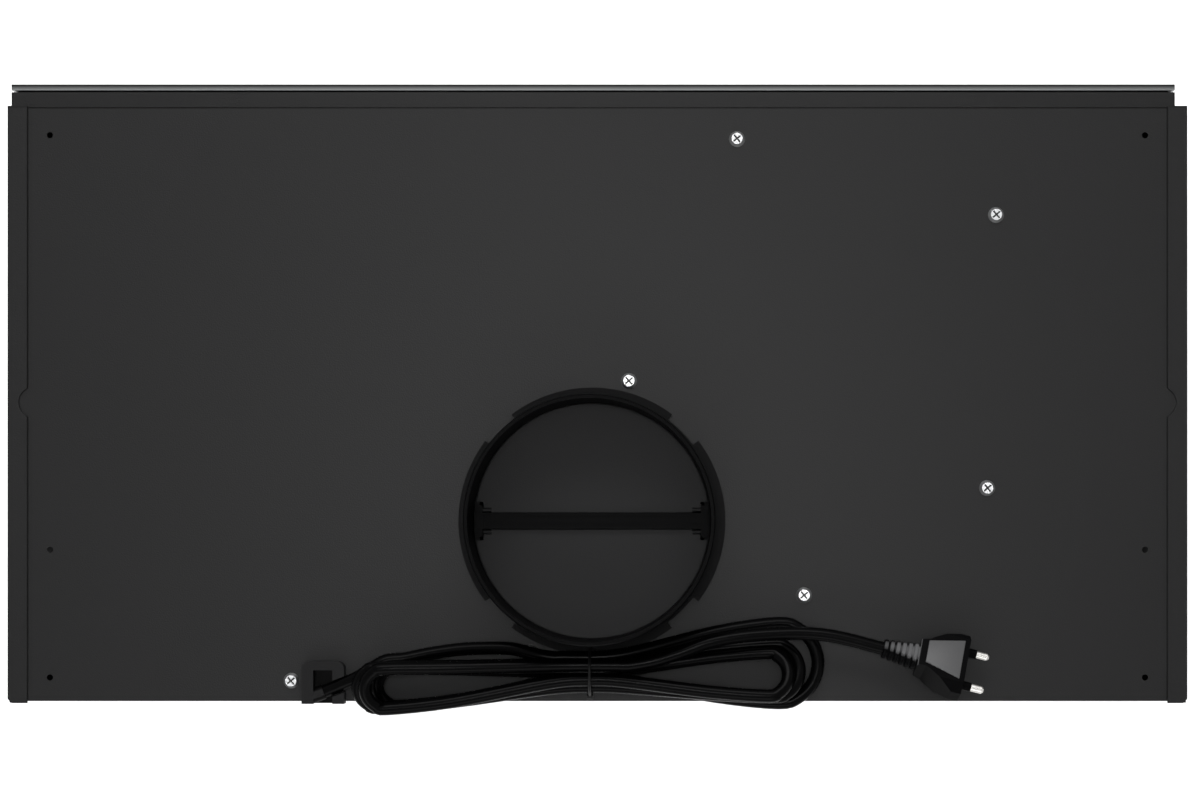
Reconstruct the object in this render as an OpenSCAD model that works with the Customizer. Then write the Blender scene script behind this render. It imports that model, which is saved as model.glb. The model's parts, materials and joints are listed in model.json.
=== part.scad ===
// Slide-out range hood that hangs under a wall cabinet.
// Millimetres. +Z is up, the front of the hood faces -Y, and +X is on the right of someone who stands
// before it. The origin is on the floor of the hood, in the middle of its width and depth.

/* [Housing] */
// Width over the two side panels
body_w = 600; // [560:1:700]
// Depth from the glass to the rear edge of the side panels
body_d = 316; // [300:1:340]
// Height of the top panel's upper face
body_h = 120; // [116:1:150]
// Thickness of the sheet metal
sheet = 1; // [0.8:0.1:1.5]
// Width of the side panels' top strips
strip_w = 10; // [8:0.5:14]
// Width of the side panels' bottom flanges
foot_w = 14; // [10:0.5:18]
// Radius of the half-round notch in each top strip
notch_r = 8; // [6:0.5:10]
// How far the notch reaches into the strip
notch_depth = 4.5; // [3:0.5:6]
// Place of the notch, to the rear of the middle
notch_y = 5; // [-20:1:20]
// How far the side panels stand past the main panel at the front and rear
side_past = 1; // [0.5:0.5:2]

/* [Cabinet screw holes] */
// Distance between the left and right holes
hole_span_x = 557.4; // [520:0.2:560]
// Place of the front pair
hole_front_y = -131; // [-135:1:-120]
// Place of the middle pair
hole_mid_y = 80; // [70:1:90]
// Place of the rear pair
hole_rear_y = 145; // [135:1:148]
// Radius of each hole
hole_r = 1.6; // [1.2:0.1:2.2]

/* [Duct collar] */
// Outer radius of the collar
duct_r = 62.2; // [58:0.2:64]
// Height of the collar above the top panel
duct_h = 40; // [30:1:50]
// Wall of the collar
duct_wall = 2; // [1.6:0.1:2.4]
// Duct centre, to the right of the middle
duct_x = 2.8; // [-10:0.2:20]
// Duct centre, to the rear of the middle
duct_y = 65.4; // [55:0.2:70]
// Width of the collar's flange
flange_w = 5.6; // [5.2:0.2:8]
// Thickness of the collar's flange
flange_t = 2; // [1.5:0.1:3]
// Angle that each of the four flange arcs spans
flange_arc = 74; // [60:1:80]
// Width of the bar between the two flaps
bar_w = 8; // [6:0.5:10]
// Thickness of a flap
flap_t = 1.2; // [0.8:0.1:2]
// Radius of the flaps' hinge pins
flap_pin_r = 1.2; // [1:0.1:1.6]

/* [Slide-out visor] */
// Width of the visor's front
visor_w = 595; // [540:1:595]
// How far the visor sits to the right of the middle
visor_shift = 2.4; // [0:0.1:2.4]
// Depth of the visor's front rail
rail_d = 7.8; // [6:0.1:10]
// Thickness of the glass
glass_t = 3; // [2:0.5:4]
// Thickness of the tape behind the glass
tape_t = 1; // [0.6:0.1:1.4]
// How far the rail's top lies under the top panel
rail_drop = 6; // [3:0.5:12]
// Height of the rail and the glass above the floor
rail_low = 3; // [2:0.5:6]
// Travel of the visor
visor_travel = 150; // [120:1:150]
// Length of the visor's tray behind the rail
tray_d = 162; // [155:1:175]
// Level of the visor's tray
tray_z = 28; // [27:0.5:30]

/* [Filters] */
// Depth of the opening for the two lower filters
filter_bay_d = 181; // [170:1:181]
// Thickness of a filter
filter_t = 8; // [6:0.5:9]
// Travel of a filter latch
latch_travel = 5; // [4.5:0.1:6]

/* [Blower] */
// Blower centre, left of the middle
blower_x = -126; // [-130:1:-120]
// Blower centre, to the rear of the middle
blower_y = -31.5; // [-36:0.5:-28]
// Radius of the impeller
impeller_r = 75; // [68:0.5:75]
// Number of blades
blades = 36; // [24:1:48]
// Radius of the motor
motor_r = 38; // [32:0.5:42]
// Radius of the motor shaft
shaft_r = 4; // [3:0.1:5]
// Wall of the blower housing
blower_wall = 2; // [1.5:0.1:3]

/* [Lamps and buttons] */
// Radius of a lamp
lamp_r = 27; // [20:0.5:27]
// Distance from the middle to each lamp
lamp_x = 190; // [120:1:240]
// Distance between push buttons
button_pitch = 22; // [18:0.5:26]
// Width of a push button
button_w = 14; // [10:0.5:15]
// Travel of a push button
button_travel = 2.5; // [1.5:0.1:3]

/* [Cord and plug] */
// Diameter of the cord
cord_d = 6.6; // [6:0.1:6.8]
// Distance between strands in the tied bundle
strand_pitch = 7.3; // [7.1:0.1:7.3]
// Roll of the plug as it lies
plug_roll = 30; // [10:1:35]
// Width of the plug's face
plug_w = 33.6; // [30:0.1:36]
// Thickness of the plug
plug_t = 17; // [15:0.5:19]
// Distance between the plug's pins
pin_gap = 19; // [18:0.1:20]

/* [Hidden] */
$fn = 64;

// Clearances
fit = 0.3;
slide_gap = 0.5;
pin_fit = 0.05;
overlap = 1;

// Places in plan are given for a hood 600 wide and 316 deep. A hood of another size keeps each place's
// share of its width and depth. The duct, outlet and cord keep their distance from its rear edge.
kx = body_w / 600;
ky = body_d / 316;
rear_move = (body_d - 316) / 2;
duct_cx = kx * duct_x;
duct_cy = duct_y + rear_move;
blower_cx = kx * blower_x;
blower_cy = ky * blower_y;
lamp_cx = kx * lamp_x;
outlet_x = kx * 138.75;

// Main planes of the housing
y_rear = body_d / 2;
y_glass = -body_d / 2;
y_tape = y_glass + glass_t;
y_rail = y_tape + tape_t;
y_side = y_rail + rail_d + 0.4;
y_panel_front = y_side + side_past;
y_panel_rear = y_rear - side_past;
wall_x = body_w / 2 - sheet;
inner_x = wall_x - fit;
panel_z = body_h - sheet;
rail_top = body_h - rail_drop;
visor_back = y_rail + rail_d;

// Main colours
coat = [0.17, 0.17, 0.175];
plastic = [0.07, 0.07, 0.075];
zinc = [0.8, 0.8, 0.8];
mesh_grey = [0.62, 0.63, 0.65];

// Sheet profile swept from y1 to y2: the points are [x, z]
module along_y(y1, y2) {
    translate([0, y2, 0]) rotate([90, 0, 0]) linear_extrude(y2 - y1) children();
}

// Block from one corner to the other
module block(a, b) {
    translate(a) cube(b - a);
}

// Puts a right-hand piece on the side s, which is 1 or -1
module on_side(s) {
    if (s > 0) children();
    else mirror([1, 0, 0]) children();
}

// Housing

spiral_spots = [[-71, -129], [-202.8, -90.4], [-198.3, 48.6], [-105.1, 103.1]];
duct_spots = [[-18.8, -71.3], [31, 67.2]];
screw_spots = [for (p = spiral_spots) [kx * p[0], ky * p[1]],
    for (p = duct_spots) [duct_cx + p[0], duct_cy + p[1]]];
clamp_spots = [[outlet_x + 17, y_rear - 11.4], [outlet_x - 17.6, y_rear - 11]];
screw_r = 1.7;
screw_hole_r = 2;
head_r = 4;
head_h = 2.2;
slot_x1 = outlet_x - 7.75;
slot_x2 = outlet_x + 7.75;
slot_y = y_rear - 18;
tab_slot_turn = 22;
tab_reach = 3.4;
tab_angle = 10;

// Ring sector that spans the angle, centred on the direction
module sector(r1, r2, direction, angle, h) {
    rotate([0, 0, direction - angle / 2]) rotate_extrude(angle = angle, $fn = 128) translate([r1, 0])
        square([r2 - r1, h]);
}

module top_panel() color(coat) difference() {
    block([-inner_x, y_panel_front, panel_z], [inner_x, y_panel_rear, body_h]);
    translate([duct_cx, duct_cy, panel_z - overlap]) {
        cylinder(r = skirt_r + fit, h = sheet + 2 * overlap, $fn = 128);
        for (k = [0:3]) sector(skirt_r - overlap, duct_r + tab_reach + 2 * fit, 45 + 90 * k + tab_slot_turn,
            tab_angle + 2, sheet + 2 * overlap);
    }
    for (x = [-1, 1], y = [hole_front_y, hole_mid_y, hole_rear_y])
        translate([x * kx * hole_span_x / 2, ky * y, panel_z - overlap])
            cylinder(r = hole_r, h = sheet + 2 * overlap);
    for (p = concat(screw_spots, clamp_spots))
        translate([p[0], p[1], panel_z - overlap]) cylinder(r = screw_hole_r, h = sheet + 2 * overlap);
    block([slot_x1, slot_y, panel_z - overlap], [slot_x2, y_rear + overlap, body_h + overlap]);
}

module side_panel() color(coat) difference() {
    along_y(y_side, y_rear) polygon([[wall_x, 0], [body_w / 2, 0], [body_w / 2, body_h + sheet],
        [body_w / 2 - strip_w, body_h + sheet], [body_w / 2 - strip_w, body_h], [wall_x, body_h],
        [wall_x, sheet], [body_w / 2 - foot_w, sheet], [body_w / 2 - foot_w, 0]]);
    translate([body_w / 2 - strip_w + notch_depth - notch_r, notch_y, body_h - overlap / 2])
        cylinder(r = notch_r, h = sheet + overlap);
    translate([body_w / 2, y_rear, body_h - overlap / 2]) rotate([0, 0, 45])
        cube([3, 3, 2 * sheet + 2 * overlap], center = true);
}

module side_panel_left() mirror([1, 0, 0]) side_panel();
module side_panel_right() side_panel();

module rear_panel() color(coat) difference() {
    block([-inner_x, y_panel_rear - sheet, sheet], [inner_x, y_panel_rear, panel_z]);
    block([slot_x1, y_panel_rear - sheet - overlap, panel_z - gland_stem_h],
        [slot_x2, y_panel_rear + overlap, panel_z + overlap]);
}

beam_low = 50;
beam_foot = 8;
module front_beam() color(coat) {
    difference() {
        block([-inner_x, y_panel_front, beam_low], [inner_x, y_panel_front + beam_foot, panel_z]);
        block([-inner_x - overlap, y_panel_front + sheet, beam_low + sheet],
            [inner_x + overlap, y_panel_front + beam_foot + overlap, panel_z - sheet]);
    }
}

// Lower rails that frame the filter bay
rail_plate_z = 8;
rail_flange_h = 16;
ledge_z = 4;
ledge_w = 4;
bay_y1 = y_glass + 80;
lamp_rail_y1 = y_panel_front + 2;
lamp_rail_y2 = bay_y1;
bay_y2 = bay_y1 + ky * filter_bay_d;
rear_rail_y2 = y_panel_rear - sheet - 0.5;
// Lamps and buttons, behind the glass
lamp_back = 47;
lamp_y = y_glass + lamp_back;
switch_y = y_glass + lamp_back;
switch_w = 3 * button_pitch + button_w + 12;
switch_d = 18;
bezel_edge = 3;

module lamp_rail() color(coat) difference() {
    union() {
        block([-inner_x, lamp_rail_y1, sheet], [inner_x, lamp_rail_y1 + sheet, rail_plate_z + sheet]);
        block([-inner_x, lamp_rail_y1, rail_plate_z], [inner_x, lamp_rail_y2, rail_plate_z + sheet]);
        block([-inner_x, lamp_rail_y2 - sheet, sheet], [inner_x, lamp_rail_y2, rail_flange_h]);
        block([-wall_x + foot_w, lamp_rail_y2 - sheet, ledge_z], [wall_x - foot_w, lamp_rail_y2 + ledge_w,
            ledge_z + sheet]);
    }
    for (s = [-1, 1]) translate([s * lamp_cx, lamp_y, 0]) cylinder(r = lamp_r + fit, h = rail_flange_h);
    block([-switch_w / 2 - fit, switch_y - switch_d / 2 - fit, rail_plate_z - overlap],
        [switch_w / 2 + fit, switch_y + switch_d / 2 + fit, rail_plate_z + sheet + overlap]);
}

module rear_rail() color(coat) {
    block([-inner_x, bay_y2, rail_plate_z], [inner_x, rear_rail_y2, rail_plate_z + sheet]);
    block([-inner_x, bay_y2, sheet], [inner_x, bay_y2 + sheet, rail_flange_h]);
    block([-inner_x, rear_rail_y2 - sheet, sheet], [inner_x, rear_rail_y2, rail_plate_z + sheet]);
    block([-wall_x + foot_w, bay_y2 - ledge_w, ledge_z], [wall_x - foot_w, bay_y2 + sheet, ledge_z + sheet]);
}

// Lower filters and their latches

filter_z = ledge_z + sheet + fit;
filter_x1 = 1.5;
filter_x2 = body_w / 2 - foot_w - 1.5;
filter_y1 = bay_y1 + ledge_w + 0.5;
filter_y2 = bay_y2 - ledge_w - 0.5;
filter_rim = 14;
latch_x = (filter_x1 + filter_x2) / 2;
bolt_w = 20;
bolt_t = 2.5;
bolt_d = 10;
knob_w = 14;
knob_d = 3;
divider_w = 24;
divider_z = filter_z + filter_t + fit;

module filter_divider() color(coat) {
    block([-divider_w / 2, bay_y1, divider_z], [divider_w / 2, bay_y2, divider_z + sheet]);
}

module filter_frame() color(mesh_grey) difference() {
    union() {
        block([filter_x1, filter_y1, filter_z], [filter_x2, filter_y2, filter_z + filter_t]);
        for (x = [filter_x1 + 40, filter_x2 - 60])
            block([x, filter_y2 - overlap, filter_z], [x + 20, bay_y2 - fit, filter_z + 2]);
    }
    block([filter_x1 + filter_rim, filter_y1 + filter_rim, filter_z - overlap],
        [filter_x2 - filter_rim, filter_y2 - filter_rim, filter_z + filter_t + overlap]);
    block([latch_x - bolt_w / 2 - fit, filter_y1 - overlap, filter_z - overlap],
        [latch_x + bolt_w / 2 + fit, bay_y1 + fit + bolt_d + latch_travel + 2 * fit,
            filter_z + bolt_t + 3 * fit]);
}

module filter_mesh() color(mesh_grey) {
    block([filter_x1 + filter_rim + 0.2, filter_y1 + filter_rim + 0.2, filter_z + 2],
        [filter_x2 - filter_rim - 0.2, filter_y2 - filter_rim - 0.2, filter_z + filter_t - 2]);
}

module filter_latch() color(plastic) {
    bolt_z = filter_z + fit;
    block([latch_x - bolt_w / 2, bay_y1 + fit, bolt_z],
        [latch_x + bolt_w / 2, bay_y1 + fit + bolt_d, bolt_z + bolt_t]);
    block([latch_x - knob_w / 2, bay_y1 + fit + bolt_d - knob_d, bolt_z - 3.4],
        [latch_x + knob_w / 2, bay_y1 + fit + bolt_d, bolt_z + overlap]);
}

module filter_frame_left() mirror([1, 0, 0]) filter_frame();
module filter_frame_right() filter_frame();
module filter_mesh_left() mirror([1, 0, 0]) filter_mesh();
module filter_mesh_right() filter_mesh();
module filter_latch_left() mirror([1, 0, 0]) filter_latch();
module filter_latch_right() filter_latch();

// Visor: front rail with glass, and a tray that carries its own filter

slide_low = tray_z - 1;
slide_high = slide_low + 20;
slide_t = 1.2;
outer_lip = 8;
middle_x2 = wall_x - slide_t - slide_gap;
middle_x1 = middle_x2 - 7.6;
inner_x2 = middle_x2 - slide_t - slide_gap;
tray_x = inner_x2 - 7.4;
tray_h = 16;
tray_y2 = visor_back + tray_d;
tray_opening_rim = 22;
visor_x1 = visor_shift - visor_w / 2;
visor_x2 = visor_shift + visor_w / 2;
cap_w = 3;
tongue_x1 = visor_x1 + cap_w + 10;
tongue_x2 = visor_x2 - cap_w - 10;
slide_y1 = y_side + 3;
slide_y2 = slide_y1 + visor_travel + 53;
middle_y2 = slide_y1 + visor_travel / 2 + 108;

module visor_front() color(coat) difference() {
    block([visor_x1 + cap_w, y_rail, rail_low], [visor_x2 - cap_w, visor_back, rail_top]);
    block([visor_x1, y_rail + sheet, rail_low + sheet], [visor_x2, visor_back + overlap, rail_top - sheet]);
}

module visor_glass() color([0.32, 0.34, 0.35]) {
    block([visor_x1, y_glass, rail_low - 1], [visor_x2, y_tape, rail_top]);
}

module glass_tape() color([0.03, 0.03, 0.03]) {
    block([visor_x1 + cap_w, y_tape, rail_low + 1], [visor_x2 - cap_w, y_rail, rail_top - 2]);
}

module visor_end_caps() color(plastic) for (x = [visor_x1, visor_x2 - cap_w])
    block([x, y_rail, rail_low], [x + cap_w, visor_back - 0.1, rail_top]);

module visor_frame() color(coat) difference() {
    union() {
        block([tongue_x1, y_rail + sheet, tray_z], [tongue_x2, visor_back + 2, tray_z + tray_h]);
        block([-tray_x, visor_back + 1, tray_z], [tray_x, tray_y2, tray_z + tray_h]);
    }
    block([tongue_x1 + sheet, y_rail + 2 * sheet, tray_z + sheet],
        [tongue_x2 - sheet, visor_back + 3, tray_z + tray_h + overlap]);
    block([-tray_x + sheet, visor_back + 2, tray_z + sheet],
        [tray_x - sheet, tray_y2 - sheet, tray_z + tray_h + overlap]);
    block([-tray_x + tray_opening_rim, visor_back + 12, tray_z - overlap],
        [tray_x - tray_opening_rim, tray_y2 - 14, tray_z + sheet + overlap]);
}

visor_filter_x = tray_x - 8;
visor_filter_y1 = visor_back + 3;
visor_filter_y2 = tray_y2 - 4;

module visor_filter_frame() color(mesh_grey) difference() {
    block([-visor_filter_x, visor_filter_y1, tray_z + sheet],
        [visor_filter_x, visor_filter_y2, tray_z + sheet + filter_t]);
    block([-visor_filter_x + filter_rim, visor_filter_y1 + filter_rim, tray_z],
        [visor_filter_x - filter_rim, visor_filter_y2 - filter_rim, tray_z + 2 * filter_t]);
}

module visor_filter_mesh() color(mesh_grey) {
    block([-visor_filter_x + filter_rim + 0.2, visor_filter_y1 + filter_rim + 0.2, tray_z + sheet + 2],
        [visor_filter_x - filter_rim - 0.2, visor_filter_y2 - filter_rim - 0.2,
            tray_z + sheet + filter_t - 2]);
}

// C profile open towards the middle of the hood, from x1 to x2 and z1 to z2
module channel(x1, x2, z1, z2) {
    polygon([[x2, z1], [x2, z2], [x1, z2], [x1, z2 - slide_t], [x2 - slide_t, z2 - slide_t],
        [x2 - slide_t, z1 + slide_t], [x1, z1 + slide_t], [x1, z1]]);
}

// C profile open towards the side panel
module channel_out(x1, x2, z1, z2) {
    polygon([[x1, z1], [x2, z1], [x2, z1 + slide_t], [x1 + slide_t, z1 + slide_t],
        [x1 + slide_t, z2 - slide_t], [x2, z2 - slide_t], [x2, z2], [x1, z2]]);
}

module slide_outers() color(zinc) for (s = [-1, 1]) on_side(s) along_y(slide_y1, slide_y2)
    channel(wall_x - outer_lip, wall_x, slide_low, slide_high);

module slide_middle() color(zinc) along_y(slide_y1, middle_y2)
    channel(middle_x1, middle_x2, slide_low + slide_t + slide_gap, slide_high - slide_t - slide_gap);

module slide_middle_left() mirror([1, 0, 0]) slide_middle();
module slide_middle_right() slide_middle();

module slide_inners() color(zinc) for (s = [-1, 1]) on_side(s) along_y(slide_y1, tray_y2)
    channel_out(tray_x, inner_x2, slide_low + 2 * (slide_t + slide_gap),
        slide_high - 2 * (slide_t + slide_gap));

// Duct collar and its two flaps

collar_low = 5;
ledge_in = 2.4;
stop_z = body_h + fit;
flap_z = stop_z + fit;
skirt_r = duct_r - 1.2;
foot_r = duct_r + 2.2;
ledge_r = duct_r - duct_wall - ledge_in;
flap_r = duct_r - duct_wall - 0.8;
hinge_y = bar_w / 2 + flap_pin_r + 0.4;
hinge_z = flap_z + flap_pin_r;
bracket_w = 4;
bracket_d = 16;
bracket_h = 4.4;
bracket_x = duct_r - duct_wall - 0.9;
wide_y = hinge_y + norm([bracket_d / 2 - hinge_y, stop_z + bracket_h - hinge_z]) + 0.4;
bar_t = 3.5;

module duct_collar() color(plastic) translate([duct_cx, duct_cy, 0]) {
    rotate_extrude($fn = 128) polygon([
        [skirt_r - duct_wall, body_h - collar_low], [skirt_r, body_h - collar_low], [skirt_r, body_h],
        [foot_r, body_h], [foot_r, body_h + flange_t], [duct_r, body_h + flange_t],
        [duct_r, body_h + duct_h - 1], [duct_r - 0.5, body_h + duct_h], [duct_r - duct_wall, body_h + duct_h],
        [duct_r - duct_wall, stop_z], [ledge_r, stop_z], [ledge_r, stop_z - 2],
        [skirt_r - duct_wall, stop_z - 2]]);
    for (k = [0:3]) {
        translate([0, 0, body_h]) sector(foot_r - 1, duct_r + flange_w, 90 * k, flange_arc, flange_t);
        translate([0, 0, panel_z - fit - 2]) sector(skirt_r - 1, duct_r + tab_reach, 45 + 90 * k,
            tab_angle, 2);
    }
}

module damper_bar() color(plastic) translate([duct_cx, duct_cy, 0]) {
    for (s = [-1, 1]) on_side(s) difference() {
        block([bracket_x - bracket_w, -bracket_d / 2, stop_z],
            [bracket_x, bracket_d / 2, stop_z + bracket_h]);
        for (t = [-1, 1]) translate([bracket_x - bracket_w - overlap, t * hinge_y, hinge_z])
            rotate([0, 90, 0]) cylinder(r = flap_pin_r + pin_fit, h = bracket_w + 2 * overlap, $fn = 32);
    }
    difference() {
        block([-bracket_x + bracket_w - overlap, -bar_w / 2, flap_z + fit],
            [bracket_x - bracket_w + overlap, bar_w / 2, flap_z + fit + bar_t]);
        for (t = [-1, 1])
            block([-bracket_x + bracket_w + overlap, t * bar_w / 4 - 0.9, flap_z + fit + bar_t - 1],
                [bracket_x - bracket_w - overlap, t * bar_w / 4 + 0.9, flap_z + fit + bar_t + overlap]);
    }
}

// The flap that lies behind the bar
module flap() color(plastic) {
    pin_x = bracket_x - 0.6;
    edge_x = bracket_x - bracket_w - 0.3;
    intersection() {
        translate([0, 0, flap_z]) cylinder(r = flap_r, h = flap_t, $fn = 128);
        union() {
            block([-edge_x, hinge_y - flap_pin_r, flap_z - overlap],
                [edge_x, wide_y + overlap, flap_z + 2 * flap_t]);
            block([-duct_r, wide_y, flap_z - overlap], [duct_r, duct_r, flap_z + 2 * flap_t]);
        }
    }
    for (s = [-1, 1]) translate([s * pin_x, hinge_y, hinge_z])
        rotate([0, -90 * s, 0]) cylinder(r = flap_pin_r, h = pin_x - edge_x + 4, $fn = 32);
}

module damper_flap_rear() translate([duct_cx, duct_cy, 0]) flap();
module damper_flap_front() translate([duct_cx, duct_cy, 0]) mirror([0, 1, 0]) flap();

// Blower: a spiral housing whose outlet turns up under the collar

blower_low = 52;
blower_split = 86;
blower_top = 116;
scroll_start = 10;
scroll_turn = 280;
scroll_r1 = impeller_r + 5;
scroll_r2 = impeller_r + 30;
inlet_r = 60;
chamber_r = duct_r + 3.4;
rim_w = 3;

function scroll_r(a) = scroll_r1 + (scroll_r2 - scroll_r1) * pow(a / scroll_turn, 2.2);
function polar(r, a) = [r * cos(a), r * sin(a)];
blower_c = [blower_cx, blower_cy];
duct_c = [duct_cx, duct_cy];

// Plan of the blower, grown by g all round: the spiral, then the chamber under the duct
module blower_plan(g) polygon(concat(
    [for (a = [0:10:scroll_turn]) blower_c + polar(scroll_r(a) + g, scroll_start - a)],
    [for (a = [112:-8:-112]) duct_c + polar(chamber_r + g, a)]));

// Post that takes a blower screw, with an arm back to the housing
module screw_post(p) {
    c = norm(p - duct_c) < norm(p - blower_c) ? duct_c : blower_c;
    d = norm(p - c);
    translate([p[0], p[1], blower_top - 6]) cylinder(r = 6, h = panel_z - blower_top + 6, $fn = 32);
    translate([c[0], c[1], 0]) rotate([0, 0, atan2(p[1] - c[1], p[0] - c[0])])
        block([inlet_r, -5, blower_top - 5], [d, 5, blower_top]);
}

module blower_upper() color(plastic) difference() {
    union() {
        translate([0, 0, blower_split]) linear_extrude(blower_top - blower_split) blower_plan(blower_wall);
        translate([0, 0, blower_split]) linear_extrude(2) blower_plan(blower_wall + rim_w);
        for (p = screw_spots) screw_post(p);
    }
    translate([0, 0, blower_split - overlap]) linear_extrude(blower_top - blower_split - 2 + overlap)
        blower_plan(0);
    translate([duct_cx, duct_cy, blower_split]) cylinder(r = duct_r + 0.5, h = body_h, $fn = 96);
    for (p = screw_spots) translate([p[0], p[1], blower_top - 7])
        cylinder(r = screw_r + pin_fit, h = 20, $fn = 32);
}

module blower_lower() color(plastic) difference() {
    union() {
        translate([0, 0, blower_low]) linear_extrude(blower_split - blower_low) blower_plan(blower_wall);
        translate([0, 0, blower_split - 2]) linear_extrude(2) blower_plan(blower_wall + rim_w);
    }
    difference() {
        translate([0, 0, blower_low + 2]) linear_extrude(blower_split - blower_low) blower_plan(0);
        translate([blower_cx, blower_cy, blower_low]) cylinder(r = inlet_r + 2, h = 8, $fn = 96);
    }
    translate([blower_cx, blower_cy, blower_low - overlap]) cylinder(r = inlet_r, h = 20, $fn = 96);
}

module duct_gasket() color([0.12, 0.12, 0.12]) translate([duct_cx, duct_cy, blower_top]) difference() {
    cylinder(r = chamber_r + 1.8, h = panel_z - blower_top, $fn = 96);
    translate([0, 0, -overlap])
        cylinder(r = chamber_r + 0.4, h = panel_z - blower_top + 2 * overlap, $fn = 96);
}

// Impeller and motor on one upright shaft

cage_low = 62;
cage_high = 102;
blade_in = 13;
motor_low = 57;
motor_high = 90;
end_t = 4;
bearing_r = 9;
bearing_h = 6;
rotor_r = 25;

module at_blower() translate([blower_cx, blower_cy, 0]) children();

module impeller() color(plastic) at_blower() {
    difference() {
        union() {
            translate([0, 0, cage_high - 2]) cylinder(r = impeller_r, h = 2, $fn = 96);
            translate([0, 0, motor_high + 3]) cylinder(r = 11, h = 14);
        }
        translate([0, 0, motor_high]) cylinder(r = shaft_r, h = 30);
    }
    translate([0, 0, cage_low]) difference() {
        cylinder(r = impeller_r, h = 2, $fn = 96);
        translate([0, 0, -overlap]) cylinder(r = impeller_r - blade_in, h = 2 + 2 * overlap, $fn = 96);
    }
    for (k = [0:blades - 1]) rotate([0, 0, k * 360 / blades]) translate([impeller_r - blade_in / 2, 0, 0])
        rotate([0, 0, 35]) block([-6.5, -0.6, cage_low + 1], [6.5, 0.6, cage_high - 1]);
}

module motor_shaft() color([0.75, 0.75, 0.77]) at_blower()
    translate([0, 0, motor_low - 2]) cylinder(r = shaft_r, h = cage_high + 6 - motor_low);

module motor_rotor() color([0.5, 0.5, 0.52]) at_blower() difference() {
    translate([0, 0, motor_low + end_t + 3])
        cylinder(r = rotor_r, h = motor_high - motor_low - 2 * end_t - 6);
    translate([0, 0, motor_low]) cylinder(r = shaft_r, h = 40);
}

module motor_stator() color([0.55, 0.35, 0.2]) at_blower() difference() {
    translate([0, 0, motor_low + end_t]) cylinder(r = motor_r, h = motor_high - motor_low - 2 * end_t);
    translate([0, 0, motor_low]) cylinder(r = rotor_r + 0.5, h = 40);
}

module motor_ends() color([0.72, 0.73, 0.75]) at_blower() for (z = [motor_low, motor_high - end_t])
    translate([0, 0, z]) difference() {
        cylinder(r = motor_r, h = end_t);
        translate([0, 0, -overlap]) cylinder(r = bearing_r, h = end_t + 2 * overlap);
    }

module motor_bearings() color([0.75, 0.6, 0.3]) at_blower() for (z = [motor_low, motor_high - end_t])
    translate([0, 0, z]) difference() {
        cylinder(r = bearing_r, h = end_t);
        translate([0, 0, -overlap]) cylinder(r = shaft_r + pin_fit, h = end_t + 2 * overlap);
    }

bush_r = 5;
bush_at = 27;
bracket_low = blower_low - 3;

module motor_bracket() color(zinc) at_blower() translate([0, 0, bracket_low]) {
    difference() {
        cylinder(r = inlet_r + 12, h = 3, $fn = 96);
        translate([0, 0, -overlap]) cylinder(r = inlet_r + 1, h = 3 + 2 * overlap, $fn = 96);
    }
    difference() {
        cylinder(r = bush_at + 6, h = 3);
        translate([0, 0, -overlap]) cylinder(r = 14, h = 3 + 2 * overlap);
    }
    for (k = [0:2]) rotate([0, 0, 120 * k + 30]) block([bush_at, -5, 0], [inlet_r + 3, 5, 3]);
}

module motor_bushes() color([0.1, 0.1, 0.1]) at_blower() for (k = [0:2])
    rotate([0, 0, 120 * k + 30]) translate([bush_at, 0, bracket_low + 3])
        cylinder(r = bush_r, h = motor_low - bracket_low - 3, $fn = 32);

// Electrical parts

box_x1 = outlet_x - 44;
box_x2 = outlet_x + 46;
box_y2 = y_rear - 26;
box_y1 = box_y2 - 46;
box_low = panel_z - 34;
box_wall = 2;
lid_t = 3;

module junction_box() color(plastic) difference() {
    block([box_x1, box_y1, box_low], [box_x2, box_y2, panel_z]);
    block([box_x1 + box_wall, box_y1 + box_wall, box_low - overlap],
        [box_x2 - box_wall, box_y2 - box_wall, panel_z - box_wall]);
    translate([box_x1 - overlap, wire_y, wire_z]) rotate([0, 90, 0])
        cylinder(r = wire_r + fit, h = 5, $fn = 32);
    translate([inner_lead_x, box_y2 + overlap, inner_lead_z]) rotate([90, 0, 0])
        cylinder(r = cord_d / 2 + fit, h = 5, $fn = 32);
}

module junction_lid() color(plastic) {
    block([box_x1, box_y1, box_low - lid_t], [box_x2, box_y2, box_low]);
    block([box_x1 + box_wall + fit, box_y1 + box_wall + fit, box_low - overlap],
        [box_x2 - box_wall - fit, box_y2 - box_wall - fit, box_low + 2]);
}

cap_r = 14;
capacitor_l = 60;
cap_x = outlet_x - 28.75;
cap_y = y_panel_rear - sheet - fit - cap_r;
cap_z = 60;
module capacitor() color([0.85, 0.85, 0.86]) translate([cap_x, cap_y, cap_z]) rotate([0, 90, 0]) {
    cylinder(r = cap_r, h = capacitor_l);
    translate([0, 0, capacitor_l - overlap]) cylinder(r = 5, h = 7);
}

clamp_y1 = y_rear - 17;
clamp_y2 = y_rear - 6;
inner_lead_x = outlet_x;
inner_lead_z = panel_z - 12;
module cord_clamp() color(plastic) difference() {
    block([clamp_spots[1][0] - 6, clamp_y1, inner_lead_z - 7], [clamp_spots[0][0] + 6, clamp_y2, panel_z]);
    block([slot_x1, clamp_y1 - overlap, inner_lead_z - cord_d / 2 - fit],
        [slot_x2, clamp_y2 + overlap, panel_z + overlap]);
    for (p = clamp_spots) translate([p[0], p[1], panel_z - 15])
        cylinder(r = screw_r + pin_fit, h = 30, $fn = 32);
}

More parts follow.
